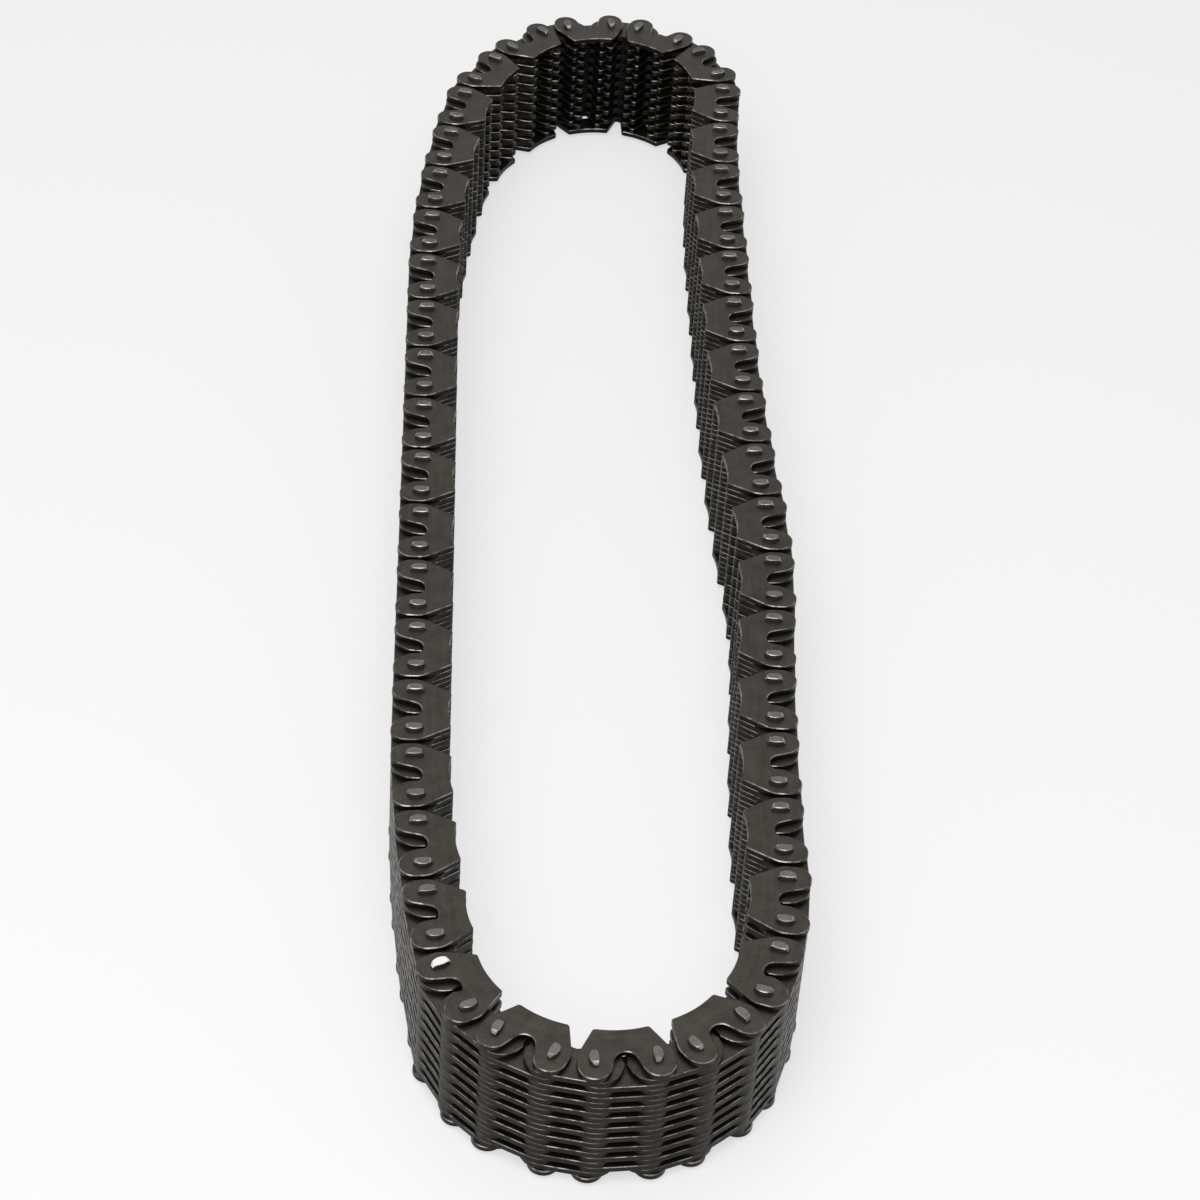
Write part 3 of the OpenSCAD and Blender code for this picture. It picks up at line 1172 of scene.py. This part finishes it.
def studio_world(strength):
    """Even light all round, that looks white behind the chain and in its steel."""
    world = bpy.data.worlds.new("studio")
    world.use_nodes = True
    tree = world.node_tree
    tree.nodes.clear()
    light = put(tree, "ShaderNodeBackground", {"Color": (1.0, 1.0, 1.0, 1.0), "Strength": strength})
    white = put(tree, "ShaderNodeBackground", {"Color": (1.0, 1.0, 1.0, 1.0), "Strength": 1.0})
    shaders = {0: seen_directly(tree), 1: light.outputs[0], 2: white.outputs[0]}
    surface = put(tree, "ShaderNodeMixShader", shaders).outputs[0]
    put(tree, "ShaderNodeOutputWorld", {"Surface": surface})
    return world


def area_lamp(name, watts, span, place, aim):
    """A soft lamp of a width and depth that shines at a point."""
    lamp = bpy.data.lights.new(name, "AREA")
    lamp.energy = watts
    lamp.shape = "RECTANGLE"
    lamp.size, lamp.size_y = span
    found = new_object(name, lamp)
    found.location = place
    found.rotation_euler = (aim - place).to_track_quat("-Z", "Y").to_euler()


def photo_camera(studio):
    """Camera at the photograph's viewing angle."""
    camera = bpy.data.cameras.new("photo camera")
    camera.sensor_width = 36.0
    camera.lens = studio.focal_length
    camera.clip_start = 0.01
    found = new_object("photo camera", camera)
    look = Vector(studio.camera_look).normalized()
    right = Vector(studio.camera_right)
    right = (right - look * right.dot(look)).normalized()
    turn = Matrix((right, right.cross(look), -look)).transposed().to_4x4()
    found.matrix_world = Matrix.Translation(studio.camera_place) @ turn
    return found


class CHAIN_OT_studio(bpy.types.Operator):
    """Set the floor, the lamps, the world and the camera"""

    bl_idname = "chain.studio"
    bl_label = "Studio"

    def execute(self, context):
        scene = context.scene
        studio = scene.chain_studio
        low, high = (Vector(corner) for corner in cad_box)
        middle = (low + high) / 2
        studio_floor(studio, middle)
        key_span = (studio.key_width, studio.key_depth)
        area_lamp("key lamp", studio.key_power, key_span, middle + Vector(studio.key_place), middle)
        front_span = (studio.front_width, studio.front_width)
        area_lamp("front lamp", studio.front_power, front_span, middle + Vector(studio.front_place), middle)
        scene.world = studio_world(studio.world_light)
        scene.camera = photo_camera(studio)
        scene.view_settings.view_transform = "Standard"
        return {"FINISHED"}


OPERATORS = (CHAIN_OT_rows, CHAIN_OT_closing_pin, CHAIN_OT_closing_rocker, CHAIN_OT_studio)
GROUPS = {
    "chain_plates": ChainPlates,
    "chain_pins": ChainPins,
    "chain_finish": ChainFinish,
    "chain_studio": ChainStudio,
}


class CHAIN_PT_panel(bpy.types.Panel):
    """Sizes, colours and pieces of the chain"""

    bl_idname = "CHAIN_PT_panel"
    bl_label = "Silent chain"
    bl_space_type = "VIEW_3D"
    bl_region_type = "UI"
    bl_category = "Chain"

    def draw(self, context):
        for operator in OPERATORS:
            self.layout.operator(operator.bl_idname)
        for name, group in GROUPS.items():
            column = self.layout.box().column()
            for size in group.__annotations__:
                column.prop(getattr(context.scene, name), size)


def register():
    for group in GROUPS.values():
        bpy.utils.register_class(group)
    for name, group in GROUPS.items():
        setattr(bpy.types.Scene, name, PointerProperty(type=group))
    for operator in OPERATORS:
        bpy.utils.register_class(operator)
    bpy.utils.register_class(CHAIN_PT_panel)


def unregister():
    bpy.utils.unregister_class(CHAIN_PT_panel)
    for operator in reversed(OPERATORS):
        bpy.utils.unregister_class(operator)
    for name in GROUPS:
        delattr(bpy.types.Scene, name)
    for group in reversed(GROUPS.values()):
        bpy.utils.unregister_class(group)


def main():
    register()
    bpy.ops.chain.rows()
    bpy.ops.chain.closing_pin()
    bpy.ops.chain.closing_rocker()
    bpy.ops.chain.studio()


if __name__ == "__main__":
    main()
